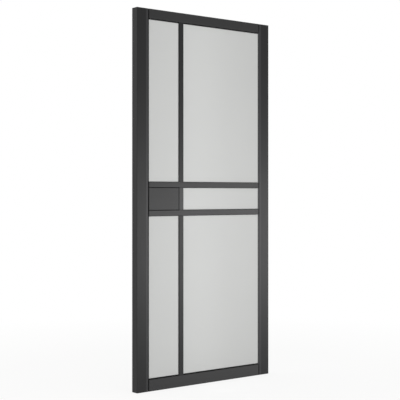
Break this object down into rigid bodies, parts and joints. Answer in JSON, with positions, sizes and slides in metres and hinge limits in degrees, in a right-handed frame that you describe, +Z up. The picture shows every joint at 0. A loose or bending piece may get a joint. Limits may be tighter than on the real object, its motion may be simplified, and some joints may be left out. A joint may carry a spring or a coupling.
{
  "type": "glazed interior door leaf",
  "caption": "Black framed interior door leaf with satin glass lites between slim glazing bars and a solid lock block beside the lock stile.",
  "frame": {"origin": "centre of the hinge edge's flat face, at mid height and mid thickness", "axes": "+Z up; +X out of the hinge edge, so the leaf reaches to -X; -Y out of the front face that the picture shows"},
  "size_m": [0.915, 0.044, 1.981],
  "materials": {
    "black_lacquer": "black lacquer on timber, sprayed smooth, satin sheen, with softened edges",
    "satin_glass": "acid-etched satin glass, pale grey, lets light through with nothing seen behind it"
  },
  "bodies": {
    "root": {"bottom_rail": "black_lacquer", "hinge_stile": "black_lacquer", "lock_block": "black_lacquer", "lock_stile": "black_lacquer", "lower_narrow_bead_bottom": "black_lacquer", "lower_narrow_bead_hinge": "black_lacquer", "lower_narrow_bead_lock": "black_lacquer", "lower_narrow_bead_top": "black_lacquer", "lower_narrow_glass": "satin_glass", "lower_transom": "black_lacquer", "lower_wide_bead_bottom": "black_lacquer", "lower_wide_bead_hinge": "black_lacquer", "lower_wide_bead_lock": "black_lacquer", "lower_wide_bead_top": "black_lacquer", "lower_wide_glass": "satin_glass", "middle_wide_bead_bottom": "black_lacquer", "middle_wide_bead_hinge": "black_lacquer", "middle_wide_bead_lock": "black_lacquer", "middle_wide_bead_top": "black_lacquer", "middle_wide_glass": "satin_glass", "mullion_lower": "black_lacquer", "mullion_middle": "black_lacquer", "mullion_upper": "black_lacquer", "top_rail": "black_lacquer", "upper_narrow_bead_bottom": "black_lacquer", "upper_narrow_bead_hinge": "black_lacquer", "upper_narrow_bead_lock": "black_lacquer", "upper_narrow_bead_top": "black_lacquer", "upper_narrow_glass": "satin_glass", "upper_transom": "black_lacquer", "upper_wide_bead_bottom": "black_lacquer", "upper_wide_bead_hinge": "black_lacquer", "upper_wide_bead_lock": "black_lacquer", "upper_wide_bead_top": "black_lacquer", "upper_wide_glass": "satin_glass"}
  },
  "joints": []
}
